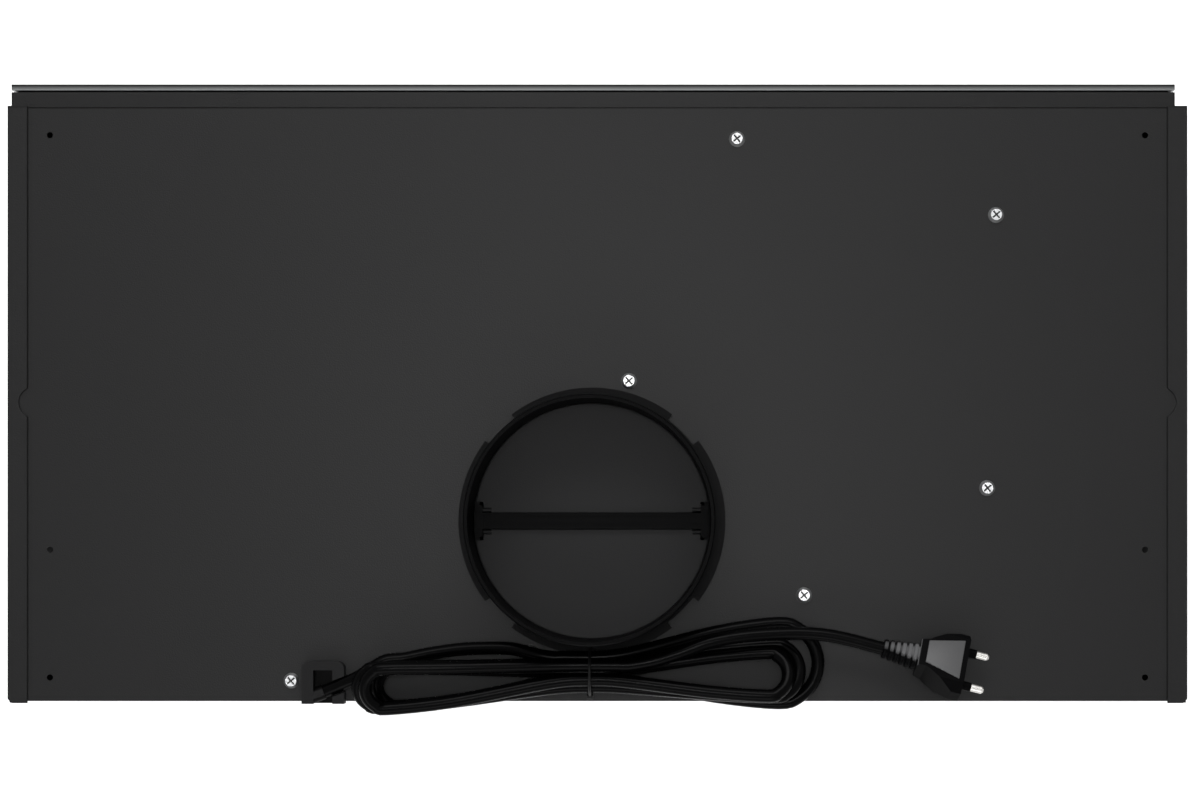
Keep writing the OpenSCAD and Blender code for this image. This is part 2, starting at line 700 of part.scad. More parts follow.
// Round wire that turns at each point
module wire(points, r) for (i = [0:len(points) - 2]) {
    d = points[i + 1] - points[i];
    translate(points[i]) rotate([0, acos(d[2] / norm(d)), atan2(d[1], d[0])])
        cylinder(r = r, h = norm(d), $fn = 24);
    if (i > 0) translate(points[i]) sphere(r = r, $fn = 24);
}

wire_r = 2.5;
wire_x = box_x1 - 15;
wire_y = box_y1 + 12;
wire_z = box_low + 10;
divider_wire_z = rail_flange_h + fit + wire_r;
motor_wire_r = 1.8;
motor_wire_z = bracket_low - motor_wire_r - fit;

// Wires, and the inner end of the mains cord
module wire_harness() color([0.25, 0.25, 0.27]) {
    wire([[inner_lead_x, box_y2 - 8, inner_lead_z], [inner_lead_x, clamp_y2 - 4, inner_lead_z],
        [inner_lead_x, clamp_y2 - 4, panel_z - gland_stem_h]], cord_d / 2);
    wire([[box_x1 + 4, wire_y, wire_z], [wire_x, wire_y, wire_z], [wire_x, wire_y, motor_wire_z - 12],
        [0, wire_y, motor_wire_z - 12], [0, wire_y, divider_wire_z],
        [0, switch_y + switch_d / 2, divider_wire_z]], wire_r);
    wire([[wire_x, wire_y, motor_wire_z], [blower_cx, wire_y, motor_wire_z],
        [blower_cx, blower_cy + 11, motor_wire_z], [blower_cx, blower_cy + 11, motor_low]], motor_wire_r);
    for (s = [-1, 1]) wire([[s * switch_w / 2, switch_y, rail_flange_h],
        [s * (lamp_cx - lamp_r), lamp_y, rail_flange_h]], motor_wire_r);
    wire([[cap_x + capacitor_l + 10, box_y2 - 4, box_low - lid_t],
        [cap_x + capacitor_l + 10, box_y2 - 4, cap_z], [cap_x + capacitor_l + 10, cap_y, cap_z],
        [cap_x + capacitor_l + 6, cap_y, cap_z]], motor_wire_r);
}

button_d = 10;
button_low = 4;
button_top = 18;

module switch_block() color(plastic) difference() {
    union() {
        block([-switch_w / 2, switch_y - switch_d / 2, rail_plate_z - 1.5],
            [switch_w / 2, switch_y + switch_d / 2, tray_z - 2]);
        block([-switch_w / 2 - bezel_edge, switch_y - switch_d / 2 - bezel_edge, rail_plate_z - 1.5],
            [switch_w / 2 + bezel_edge, switch_y + switch_d / 2 + bezel_edge, rail_plate_z]);
    }
    for (k = [0:3]) translate([button_pitch * (k - 1.5), switch_y, 0])
        block([-button_w / 2 - fit, -button_d / 2 - fit, 0],
            [button_w / 2 + fit, button_d / 2 + fit, button_top + button_travel + fit]);
}

module button(k) color([0.75, 0.76, 0.78]) translate([button_pitch * (k - 1.5), switch_y, 0])
    block([-button_w / 2, -button_d / 2, button_low], [button_w / 2, button_d / 2, button_top]);

module button_off() button(0);
module button_speed_1() button(1);
module button_speed_2() button(2);
module button_light() button(3);

module lamp_housings() color([0.8, 0.81, 0.83]) for (s = [-1, 1]) translate([s * lamp_cx, lamp_y, 0])
    difference() {
        union() {
            translate([0, 0, rail_plate_z - 1.5]) cylinder(r = lamp_r, h = 14);
            translate([0, 0, rail_plate_z - 1.5]) cylinder(r = lamp_r + 3, h = 1.5);
        }
        translate([0, 0, rail_plate_z - 1.5 - overlap]) cylinder(r = lamp_r - 3, h = 4 + overlap);
    }

module lamp_lenses() color([0.95, 0.95, 0.9, 0.6]) for (s = [-1, 1])
    translate([s * lamp_cx, lamp_y, rail_plate_z - 1]) cylinder(r = lamp_r - 3 - fit, h = 3);

// Fasteners that show on the top

module pan_screw() difference() {
    union() {
        cylinder(r1 = head_r, r2 = head_r - 1.2, h = head_h, $fn = 48);
        translate([0, 0, -12]) cylinder(r = screw_r, h = 12 + overlap, $fn = 32);
    }
    for (a = [0, 90]) rotate([0, 0, a + 40]) translate([-2.4, -0.45, head_h - 1.2]) cube([4.8, 0.9, 2]);
}

module top_screws() color(zinc) for (p = concat(screw_spots, clamp_spots)) translate([p[0], p[1], body_h])
    pan_screw();

// Cord: out of its gland, tied in a hank on the rear of the top panel, and on to the plug.
// Heights along the cord are counted from the top panel.

gland_x1 = outlet_x - 10.75;
gland_x2 = outlet_x + 10.75;
gland_y1 = y_rear - 21.6;
gland_h = 7.6;
gland_stem_h = 4;
recess_x1 = outlet_x - 4.85;
recess_x2 = outlet_x + 4.85;
recess_y = y_rear - 17;
cord_at = [outlet_x - 138.75, rear_move, body_h];
cord_start = [138.5, 152, 3.9];
start_turn = 200;

module cord_gland() color(plastic) difference() {
    union() {
        translate([0, 0, body_h]) difference() {
            union() {
                block([gland_x1 + 4, gland_y1, 0], [gland_x2 - 4, y_rear, gland_h]);
                block([gland_x1, gland_y1 + 4, 0], [gland_x2, y_rear, gland_h]);
                for (x = [gland_x1 + 4, gland_x2 - 4]) translate([x, gland_y1 + 4, 0])
                    cylinder(r = 4, h = gland_h);
            }
            block([recess_x1, recess_y, fit], [recess_x2, y_rear + overlap, gland_h + overlap]);
        }
        block([slot_x1 + fit, slot_y + fit, panel_z - gland_stem_h], [slot_x2 - fit, y_rear, body_h]);
        translate(cord_start + cord_at) rotate([0, -90, start_turn - 180]) mirror([0, 0, 1])
            cylinder(r = cord_start[2] - 0.1, h = 7);
    }
    translate(cord_start + cord_at + [0, 0, fit - cord_start[2]]) rotate([0, 0, start_turn])
        block([0, -cord_d / 2 - 0.6, 0], [30, cord_d / 2 + 0.6, 2 * gland_h]);
}

// Tube along a path: its rings stand square to the path, with one side level
function unit(v) = v / norm(v);
function tangent(p, i) = unit(p[min(i + 1, len(p) - 1)] - p[max(i - 1, 0)]);
function ring(c, t, r, n) = let (u = unit(cross(t, [0, 0, 1])), v = cross(u, t))
    [for (k = [0:n - 1]) c + r * (cos(360 * k / n) * u + sin(360 * k / n) * v)];
module tube(p, n) {
    last = len(p) - 1;
    points = [for (i = [0:last]) each ring(p[i], tangent(p, i), cord_d / 2, n)];
    sides = [for (i = [0:last - 1], k = [0:n - 1]) let (a = i * n + k, b = i * n + (k + 1) % n) each
        [[a, b, b + n], [a, b + n, a + n]]];
    first_cap = [for (k = [n - 1:-1:0]) k];
    last_cap = [for (k = [0:n - 1]) last * n + k];
    translate(cord_at) polyhedron(points, concat(sides, [first_cap, last_cap]), convexity = 10);
}

// Smooth curve through points: the tangent at each one is parallel to the chord between its neighbours
function spline(p, per) = [for (i = [0:len(p) - 2], j = [0:per - 1]) let (t = j / per, a = p[max(i - 1, 0)],
    b = p[i], c = p[i + 1], d = p[min(i + 2, len(p) - 1)])
    0.5 * (2 * b + (c - a) * t + (2 * a - 5 * b + 4 * c - d) * t * t + (3 * b - a - 3 * c + d) * t * t * t)];
function path(p, per) = concat(spline(p, per), [p[len(p) - 1]]);

// Bundle under the tie: seven strands in a hexagon, as [rearward, upward] in strand pitches
bundle = [3.3, 141.5, 12.6];
slots = [[-1, 0], [0.5, -0.866], [-0.5, -0.866], [1, 0], [0, 0], [0.5, 0.866], [-0.5, 0.866]];
function slot(i) = bundle + strand_pitch * [0, slots[i][0], slots[i][1]];

// Wide turns on the left of the hood: middle, radius, and height at the front and rear
turn_c = [[-91.8, 137.5, 0], [-89.2, 141, 0], [-85.8, 142.6, 0]];
turn_r = [20.2, 13.1, 10.6];
turn_z = [[3.7, 3.7], [3.7, 12.8], [10.4, 20.7]];
function turn(k) = [for (a = [-90:30:90]) turn_c[k] + [-turn_r[k] * cos(a), turn_r[k] * sin(a),
    (turn_z[k][0] + turn_z[k][1]) / 2 + (turn_z[k][1] - turn_z[k][0]) / 2 * sin(a)]];

// Narrow folds on the right of the hood lean on one another: rear leg low, front leg high
fold_x = [100.6, 109.1, 104.4];
fold_r = 10.7;
fold_y = 149.3;
fold_low = 3.7;
fold_lean = 18;
fold_step = 9.3;
function fold(k) = [for (a = [90:-30:-90]) [fold_x[k] + fold_r * cos(a),
    fold_y + fold_r * cos(fold_lean) * sin(a),
    fold_low + k * fold_step + fold_r * sin(fold_lean) * (1 - sin(a))]];

// Two rings between a slot and a turn
function ease(t) = t * t * (3 - 2 * t);
run_out = [0.2, 0.67];
run_in = [0.33, 0.8];
function run(a, b, at) = [for (t = at) [a[0] + (b[0] - a[0]) * t, a[1] + (b[1] - a[1]) * ease(t),
    a[2] + (b[2] - a[2]) * ease(t)]];
function loop(k) = let (turn = turn(k), fold = fold(k), front = slot(2 * k), rear = slot(2 * k + 1),
    next = slot(2 * k + 2)) concat([front], run(front, turn[0], run_out), turn,
    run(turn[6], rear, run_in), [rear], run(rear, fold[0], run_out), fold, run(fold[6], next, run_in));
straight = [2 * cord_d, 0, 0];
hank = concat([slot(0) + straight, slot(0) + straight / 2], loop(0), loop(1), loop(2),
    [slot(6), slot(6) - straight / 2, slot(6) - straight]);

// Least distance between two stretches of the hank that lie 60 mm apart or more along it
function to_segment(q, a, b) = let (d = b - a, t = max(0, min(1, (q - a) * d / (d * d)))) norm(q - a - t * d);
function samples(p, per) = [for (i = [0:len(p) - 2], j = [0:per - 1])
    [i, p[i] + (p[i + 1] - p[i]) * j / per]];
function length_to(p, i) = i == 0 ? 0 : length_to(p, i - 1) + norm(p[i] - p[i - 1]);
hank_at = [for (i = [0:len(hank) - 1]) length_to(hank, i)];
hank_gap = min([for (q = samples(hank, 6), j = [0:len(hank) - 2])
    if (abs(hank_at[q[0]] - hank_at[j]) > 60) to_segment(q[1], hank[j], hank[j + 1])]) - cord_d;
echo(hank_gap = hank_gap, hank_length = hank_at[len(hank) - 1], hank_rings = len(hank));

plug_start = [-144, 129.6, 14];
plug_turn = 166;
plug_back = [-cos(plug_turn), -sin(plug_turn), 0];
lead_in = [cord_start, [132, 149.4, 4.6], [126, 146.8, 5.7], [120, 143.9, 6.1], [114, 140, 4.7],
    [107, 136.2, 4.2], [98, 135.3, 3.7], [85, 132.7, 3.7], [70, 130.5, 4.6], [56, 129.8, 6.5],
    [43, 130, 8.9], [31, 132.8, 12.1], [22.5, slot(0)[1], slot(0)[2]], slot(0) + straight];
lead_out = [slot(6) - straight, [-17, slot(6)[1], slot(6)[2]], [-29, 135.7, 18.7], [-42, 131.7, 18.7],
    [-56, 126.6, 18.5], [-72, 123.6, 17.4], [-88, 122.3, 15.8], [-103, 122, 14.7],
    [-116, 123, 14.2], [-127, 125.2, 14], plug_start + cord_d * plug_back, plug_start];

module cord_lead_in() color(plastic) tube(path(lead_in, 3), 8);
module cord_hank() color(plastic) tube(hank, 6);
module cord_lead_out() color(plastic) tube(path(lead_out, 3), 8);

tie_r = 0.7;
module cord_tie() color([0.12, 0.12, 0.12]) translate(bundle + cord_at) rotate([0, 90, 0]) {
    rotate_extrude($fn = 96) translate([strand_pitch + cord_d / 2 + fit + tie_r, 0])
        circle(r = tie_r, $fn = 16);
    rotate([0, 0, 90]) translate([strand_pitch + cord_d / 2 + fit + 2 * tie_r, 0, -1.5])
        cylinder(r = 1.5, h = 3, $fn = 24);
}

// Plug: its own x runs to the pins, y across, z up
relief_l = 18;
plug_l = 24;
plug_neck = 7.2;
plug_edge = 4.5;
pin_r = 2;
sleeve_l = 5;
pin_l = 11.5;
pin_root = 8;

module plug_place() translate(plug_start + cord_at) rotate([0, 0, plug_turn])
    rotate([-plug_roll, 0, 0]) children();

module plug_body() color(plastic) plug_place() difference() {
    union() {
        rotate([0, 90, 0]) rotate_extrude() polygon(concat([[0, 0], [cord_d / 2 + 0.8, 0]],
            [for (k = [0:5]) let (r = cord_d / 2 + 0.35 * k) each [[r + 1.6, 3 * k + 0.4],
                [r + 1.6, 3 * k + 2], [r + 0.9, 3 * k + 2.2], [r + 0.9, 3 * k + 2.9]]],
            [[plug_neck - 1.2, relief_l], [plug_neck - 1.2, relief_l + 2], [0, relief_l + 2]]));
        intersection() {
            translate([relief_l, 0, -plug_t / 2]) linear_extrude(plug_t) polygon([[0, -plug_neck],
                [4, -plug_neck - 0.6], [plug_l - 5, -plug_w / 2], [plug_l, -plug_w / 2],
                [plug_l, plug_w / 2], [plug_l - 5, plug_w / 2], [4, plug_neck + 0.6], [0, plug_neck]]);
            translate([relief_l, plug_w / 2, 0]) rotate([90, 0, 0]) linear_extrude(plug_w)
                polygon([[0, -6.5], [6, -plug_t / 2], [plug_l, -plug_t / 2], [plug_l, plug_t / 2],
                    [6, plug_t / 2], [0, 6.5]]);
            translate([relief_l, 0, 0]) rotate([90, 0, 90]) linear_extrude(plug_l)
                polygon([[-plug_w / 2, plug_edge - plug_t / 2], [plug_edge - plug_w / 2, -plug_t / 2],
                    [plug_w / 2 - plug_edge, -plug_t / 2], [plug_w / 2, plug_edge - plug_t / 2],
                    [plug_w / 2, plug_t / 2 - plug_edge], [plug_w / 2 - plug_edge, plug_t / 2],
                    [plug_edge - plug_w / 2, plug_t / 2], [-plug_w / 2, plug_t / 2 - plug_edge]]);
        }
        for (s = [-1, 1]) translate([relief_l + plug_l - overlap, s * pin_gap / 2, 0]) rotate([0, 90, 0])
            cylinder(r = pin_r + 0.3, h = sleeve_l + overlap, $fn = 32);
    }
    for (s = [-1, 1]) translate([relief_l + plug_l - pin_root, s * pin_gap / 2, 0]) rotate([0, 90, 0])
        cylinder(r = pin_r, h = 30, $fn = 32);
}

module plug_pins() color([0.85, 0.8, 0.65]) plug_place() for (s = [-1, 1])
    translate([relief_l + plug_l - pin_root, s * pin_gap / 2, 0]) rotate([0, 90, 0]) {
        cylinder(r = pin_r, h = pin_root + pin_l - 1, $fn = 32);
        translate([0, 0, pin_root + pin_l - 1]) cylinder(r1 = pin_r, r2 = pin_r - 0.8, h = 1, $fn = 32);
    }

top_panel();
side_panel_left();
side_panel_right();
rear_panel();
front_beam();
lamp_rail();
rear_rail();
filter_divider();
filter_frame_left();
filter_frame_right();
filter_mesh_left();
filter_mesh_right();
filter_latch_left();
filter_latch_right();
visor_frame();
visor_front();
visor_glass();
glass_tape();
visor_end_caps();
visor_filter_frame();
visor_filter_mesh();
slide_outers();
slide_middle_left();
slide_middle_right();
slide_inners();
duct_collar();
damper_bar();
damper_flap_front();
damper_flap_rear();
duct_gasket();
blower_upper();
blower_lower();
impeller();
motor_shaft();
motor_rotor();
motor_stator();
motor_ends();
motor_bearings();
motor_bracket();
motor_bushes();
capacitor();
junction_box();
junction_lid();
cord_clamp();
wire_harness();
switch_block();
button_off();
button_speed_1();
button_speed_2();
button_light();
lamp_housings();
lamp_lenses();
top_screws();
cord_gland();
cord_lead_in();
cord_hank();
cord_tie();
cord_lead_out();
plug_body();
plug_pins();
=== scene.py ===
import math

import bpy
from mathutils import Matrix, Vector
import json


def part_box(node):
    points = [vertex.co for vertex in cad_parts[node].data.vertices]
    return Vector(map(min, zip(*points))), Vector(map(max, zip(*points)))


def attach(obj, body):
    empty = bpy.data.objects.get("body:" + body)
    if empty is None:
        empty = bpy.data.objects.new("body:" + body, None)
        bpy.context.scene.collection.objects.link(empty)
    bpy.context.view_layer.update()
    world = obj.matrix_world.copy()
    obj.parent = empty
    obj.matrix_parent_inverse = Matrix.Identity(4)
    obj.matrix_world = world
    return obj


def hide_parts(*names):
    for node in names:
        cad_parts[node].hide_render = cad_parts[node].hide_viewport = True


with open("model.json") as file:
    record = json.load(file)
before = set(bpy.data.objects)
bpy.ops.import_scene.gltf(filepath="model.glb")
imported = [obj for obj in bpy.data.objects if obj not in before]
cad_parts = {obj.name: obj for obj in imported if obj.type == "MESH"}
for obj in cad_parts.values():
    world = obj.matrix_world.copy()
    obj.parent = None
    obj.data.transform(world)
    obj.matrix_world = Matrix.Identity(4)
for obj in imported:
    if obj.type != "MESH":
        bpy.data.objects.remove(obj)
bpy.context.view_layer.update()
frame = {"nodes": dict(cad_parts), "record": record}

# Places of the CAD source, in metres
TOP = 0.120          # upper face of the top panel
FRONT_Y = -0.158     # front of the glass
PANEL_Y = -0.1448    # front edge of the top panel
SEAM_X = 0.290       # seams between the top panel and the side panels, left and right
OUTLET_X = 0.13875   # middle of the cord's outlet
CORD_D = 0.0066      # the cord's thickness


def add_object(name, data):
    """A new object in the scene."""
    thing = bpy.data.objects.new(name, data)
    bpy.context.collection.objects.link(thing)
    return thing


# Camera: straight down, with the hood's front at the top of the picture

CAMERA_PLACE = (-0.040, 0.080)     # the photo looks straight down on this point
CAMERA_RISE = 1.221                # above the top panel, from how far the collar's rim shifts
PICTURE_SHIFT = (-0.0634, 0.1248)
LENS = 71.97

camera = add_object("camera", bpy.data.cameras.new("camera"))
camera.location = (*CAMERA_PLACE, TOP + CAMERA_RISE)
camera.rotation_euler = (0, 0, math.pi)
camera.data.sensor_width = 36
camera.data.lens = LENS
camera.data.shift_x, camera.data.shift_y = PICTURE_SHIFT
camera.data.clip_start = 0.05
bpy.context.scene.camera = camera
bpy.context.scene.view_settings.view_transform = "Standard"


# Cord: one smooth curve on the route of the CAD source, in millimetres, with heights above the
# top panel. The hank has three loops, so that seven strands pass the tie.

STRAND_PITCH = 7.3
BUNDLE = Vector((3.3, 141.5, 12.6))    # middle of the strands at the tie
SLOTS = [(-1, 0), (0.5, -0.866), (-0.5, -0.866), (1, 0), (0, 0), (0.5, 0.866), (-0.5, 0.866)]
STRAIGHT = Vector((13.2, 0, 0))        # stretch of the first and the last strand beside the tie

# Wide turns at the plug's end: middle, radius, and heights at the front and the rear
TURNS = [((-91.8, 137.5), 20.2, (3.7, 3.7)),
         ((-89.2, 141), 13.1, (3.7, 12.8)),
         ((-85.8, 142.6), 10.6, (10.4, 20.7))]

# Narrow folds at the outlet's end, which lean on one another: rear leg low, front leg high
FOLD_X = [100.6, 109.1, 104.4]
FOLD_Y = 149.3
FOLD_R = 10.7
FOLD_LOW = 3.7
FOLD_STEP = 9.3
FOLD_LEAN = math.radians(18)

RUN_OUT, RUN_IN = (0.2, 0.67), (0.33, 0.8)    # shares of the way out of a slot, and into one
PLUG_START = Vector((-144, 129.6, 14))
PLUG_TURN = math.radians(166)
PLUG_LEAD = 6.6                               # the cord's last straight stretch
ROUTE_STEPS = 4                               # points of the curve to each point of the route
HALF_CIRCLE = [(math.cos(math.radians(a)), math.sin(math.radians(a))) for a in range(-90, 91, 30)]


def turn(middle, radius, heights):
    """A half circle from the hank's front to its rear."""
    x, y = middle
    low, high = heights
    return [Vector((x - radius * c, y + radius * s, (low + high) / 2 + (high - low) / 2 * s))
            for c, s in HALF_CIRCLE]


def fold(k):
    """A half circle from the hank's rear to its front."""
    depth, rise = FOLD_R * math.cos(FOLD_LEAN), FOLD_R * math.sin(FOLD_LEAN)
    return [Vector((FOLD_X[k] + FOLD_R * c, FOLD_Y + depth * s,
                    FOLD_LOW + k * FOLD_STEP + rise * (1 - s)))
            for c, s in reversed(HALF_CIRCLE)]


def run(a, b, shares):
    """Points between a and b that ease across and up."""
    points = []
    for t in shares:
        ease = t * t * (3 - 2 * t)
        points.append(Vector((a.x + (b.x - a.x) * t, a.y + (b.y - a.y) * ease,
                              a.z + (b.z - a.z) * ease)))
    return points


def smooth(points, steps):
    """A curve through the points, at each one parallel to the chord between its neighbours."""
    curved = []
    for i in range(len(points) - 1):
        a, b, c = points[max(i - 1, 0)], points[i], points[i + 1]
        d = points[min(i + 2, len(points) - 1)]
        for j in range(steps):
            t = j / steps
            curved.append(0.5 * (2 * b + (c - a) * t + (2 * a - 5 * b + 4 * c - d) * t ** 2
                                 + (3 * b - a - 3 * c + d) * t ** 3))
    return curved + [points[-1]]


slots = [BUNDLE + Vector((0, STRAND_PITCH * across, STRAND_PITCH * up)) for across, up in SLOTS]
first, last = slots[0], slots[-1]
lead_in = [(138.5, 152, 3.9), (132, 149.4, 4.6), (126, 146.8, 5.7), (120, 143.9, 6.1),
           (114, 140, 4.7), (107, 136.2, 4.2), (98, 135.3, 3.7), (85, 132.7, 3.7),
           (70, 130.5, 4.6), (56, 129.8, 6.5), (43, 130, 8.9), (31, 132.8, 12.1),
           (22.5, first.y, first.z)]
lead_out = [(-17, last.y, last.z), (-29, 135.7, 18.7), (-42, 131.7, 18.7), (-56, 126.6, 18.5),
            (-72, 123.6, 17.4), (-88, 122.3, 15.8), (-103, 122, 14.7), (-116, 123, 14.2),
            (-127, 125.2, 14)]
to_plug = Vector((math.cos(PLUG_TURN), math.sin(PLUG_TURN), 0))

route = [Vector(p) for p in lead_in] + [first + STRAIGHT, first + STRAIGHT / 2]
for k, shape in enumerate(TURNS):
    front, rear, ahead = slots[2 * k:2 * k + 3]
    wide, narrow = turn(*shape), fold(k)
    route += [front] + run(front, wide[0], RUN_OUT) + wide + run(wide[-1], rear, RUN_IN)
    route += [rear] + run(rear, narrow[0], RUN_OUT) + narrow + run(narrow[-1], ahead, RUN_IN)
route += [last, last - STRAIGHT / 2, last - STRAIGHT] + [Vector(p) for p in lead_out]
route += [PLUG_START - PLUG_LEAD * to_plug, PLUG_START]
line = [Vector((p.x / 1000, p.y / 1000, p.z / 1000 + TOP)) for p in smooth(route, ROUTE_STEPS)]

curve = bpy.data.curves.new("mains_cord", "CURVE")
curve.dimensions = "3D"
curve.bevel_depth = 1    # the points' radii carry the thickness, as they widen the curve's box too
curve.bevel_resolution = 5
curve.use_fill_caps = True
spline = curve.splines.new("POLY")
spline.points.add(len(line) - 1)
for point, place in zip(spline.points, line):
    point.co = (*place, 1)
    point.radius = CORD_D / 2
spline.use_smooth = True
cord = add_object("mains_cord", curve)
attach(cord, "hood")
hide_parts("cord_lead_in", "cord_hank", "cord_lead_out")


# Filters: layers of expanded aluminium, each one a grid of diamonds turned into wire

CELL = (0.0045, 0.0026)    # half the length and half the width of a diamond
LAYERS = (0.2, 0.5, 0.8)   # shares of the mesh's thickness
WIRE = 0.0007


def lattice(name, node, body):
    """Stands for a filter mesh of the CAD, which is a plain slab."""
    low, high = [Vector(p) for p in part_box(node)]
    size = high - low
    steps = [2 * round(size[i] / (2 * CELL[i])) for i in (0, 1)]
    layers = []
    for share in LAYERS:
        bpy.ops.mesh.primitive_grid_add(x_subdivisions=steps[0], y_subdivisions=steps[1], size=1,
                                        location=(low + high) / 2)
        layer = bpy.context.object
        layer.scale = (size.x, size.y, 1)
        layer.location.z = low.z + size.z * share
        bpy.ops.object.transform_apply()
        bpy.ops.object.mode_set(mode="EDIT")
        bpy.ops.mesh.select_all(action="SELECT")
        bpy.ops.mesh.unsubdivide(iterations=1)
        bpy.ops.object.mode_set(mode="OBJECT")
        wire = layer.modifiers.new("wire", "WIREFRAME")
        wire.thickness = WIRE
        wire.use_boundary = True
        bpy.ops.object.modifier_apply(modifier="wire")
        layers.append(layer)
    for layer in layers:
        layer.select_set(True)
    bpy.ops.object.join()
    piece = bpy.context.object
    piece.name = piece.data.name = name
    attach(piece, body)
    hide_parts(node)
    return piece


lattices = [lattice("lattice_left", "filter_mesh_left", "hood"),
            lattice("lattice_right", "filter_mesh_right", "hood"),
            lattice("lattice_visor", "visor_filter_mesh", "visor")]


# Plug: a thin light grey sheet on its upper face, a painted highlight, made in the plug's own axes,
# where x runs to the pins

PLUG_ROLL = math.radians(30)
PLUG_FACE = 0.0085      # the upper face, above the plug's axis
RELIEF_L = 0.018        # the strain relief, before the body
HIGHLIGHT_X = 0.0304
HIGHLIGHT_SIZE = (0.0180, 0.0220, 0.0008)
HIGHLIGHT_TAPER = 0.56        # the width near the cord, as a share of that near the pins
HIGHLIGHT_EDGE = 0.0003

plug_place = (Matrix.Translation(line[-1]) @ Matrix.Rotation(PLUG_TURN, 4, "Z")
              @ Matrix.Rotation(-PLUG_ROLL, 4, "X"))
bpy.ops.mesh.primitive_cube_add(size=1, location=(0, 0, 0))
highlight_sheet = bpy.context.object
highlight_sheet.name = highlight_sheet.data.name = "plug_highlight"
highlight_sheet.scale = HIGHLIGHT_SIZE
bpy.ops.object.transform_apply(location=False, rotation=False)
for vertex in highlight_sheet.data.vertices:
    if vertex.co.x < 0:
        vertex.co.y *= HIGHLIGHT_TAPER
soften = highlight_sheet.modifiers.new("soften", "BEVEL")
soften.width = HIGHLIGHT_EDGE
soften.segments = 3
bpy.ops.object.modifier_apply(modifier="soften")
bpy.ops.object.shade_smooth_by_angle(angle=math.radians(40))
highlight_sheet.matrix_world = plug_place @ Matrix.Translation((HIGHLIGHT_X, 0, PLUG_FACE))
bpy.ops.object.transform_apply()
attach(highlight_sheet, "hood")


# Materials: grain and patches are noise in the object's own coordinates, the frame's metres

LACQUER_ROUGH = 0.08
ROUGH_SPAN = 0.08       # how far the grain moves the roughness either way
LEAST_ROUGH = 0.02
GRAIN_DEPTH = 0.0003


def new_node(tree, kind, values=None):
    """A shader node of this kind, with these values in its inputs."""
    node = tree.nodes.new("ShaderNode" + kind)
    for key, value in (values or {}).items():
        node.inputs[key].default_value = value
    return node


def links(tree, *pairs):
    for a, b in pairs:
        tree.links.new(a, b)


def combine(tree, operation, *values):
    """All of the values put together by one operation."""
    total = values[0]
    for value in values[1:]:
        step = new_node(tree, "Math")
        step.operation = operation
        links(tree, (total, step.inputs[0]), (value, step.inputs[1]))
        total = step.outputs[0]
    return total


def surface(name, color, rough, metal=0.0, grain=900.0, bump=0.1, mottle=0.12, patch=14.0,
            spec=0.5, lacquer=0.0, stretch=(1, 1, 1)):
    """A fine grain in the height and the roughness, and broad patches in the colour."""
    m = bpy.data.materials.new(name)
    m.use_nodes = True
    tree = m.node_tree
    shader = tree.nodes["Principled BSDF"]
    shader.inputs["Metallic"].default_value = metal
    shader.inputs["Specular IOR Level"].default_value = spec
    shader.inputs["Coat Weight"].default_value = lacquer
    shader.inputs["Coat Roughness"].default_value = LACQUER_ROUGH
    place = new_node(tree, "TexCoord").outputs["Object"]
    scale = new_node(tree, "Mapping", {"Scale": stretch})
    fine = new_node(tree, "TexNoise", {"Scale": grain, "Detail": 3})
    broad = new_node(tree, "TexNoise", {"Scale": patch, "Detail": 4})
    tint = new_node(tree, "Mix")
    tint.data_type = "RGBA"
    tint.inputs["A"].default_value = (*[c * (1 - mottle) for c in color], 1)
    tint.inputs["B"].default_value = (*[min(1, c * (1 + mottle)) for c in color], 1)
    spread = new_node(tree, "MapRange", {"To Min": max(LEAST_ROUGH, rough - ROUGH_SPAN),
                                         "To Max": min(1, rough + ROUGH_SPAN)})
    height = new_node(tree, "Bump", {"Strength": bump, "Distance": GRAIN_DEPTH})
    links(tree, (place, scale.inputs["Vector"]), (scale.outputs["Vector"], fine.inputs["Vector"]),
          (place, broad.inputs["Vector"]), (broad.outputs["Fac"], tint.inputs["Factor"]),
          (tint.outputs["Result"], shader.inputs["Base Color"]),
          (fine.outputs["Fac"], spread.inputs["Value"]),
          (spread.outputs["Result"], shader.inputs["Roughness"]),
          (fine.outputs["Fac"], height.inputs["Height"]),
          (height.outputs["Normal"], shader.inputs["Normal"]))
    return m


def mask(tree, axis, start, full, vector=None):
    """Zero before start and one past full, along an axis of the object or of another vector."""
    vector = vector or new_node(tree, "TexCoord").outputs["Object"]
    split = new_node(tree, "SeparateXYZ")
    ramp = new_node(tree, "MapRange", {"From Min": start, "From Max": full})
    links(tree, (vector, split.inputs[0]), (split.outputs["XYZ".index(axis)], ramp.inputs["Value"]))
    return ramp.outputs["Result"]


def paint(m, color, *masks):
    """Lays a second colour over the first, where all of the masks are one.

    Each mask is a tuple of what mask() takes after the tree."""
    tree = m.node_tree
    shader = tree.nodes["Principled BSDF"]
    first_color = shader.inputs["Base Color"].links[0].from_socket
    where = combine(tree, "MULTIPLY", *[mask(tree, *values) for values in masks])
    over = new_node(tree, "Mix")
    over.data_type = "RGBA"
    over.inputs["B"].default_value = (*color, 1)
    links(tree, (where, over.inputs["Factor"]), (first_color, over.inputs["A"]),
          (over.outputs["Result"], shader.inputs["Base Color"]))


def coat(name):
    """Black powder coat, under a name of its own so that a piece can be painted alone."""
    return surface(name, (0.0092, 0.0092, 0.0094), 0.5, grain=1400, bump=0.35, mottle=0.04,
                   patch=5, spec=0.17)


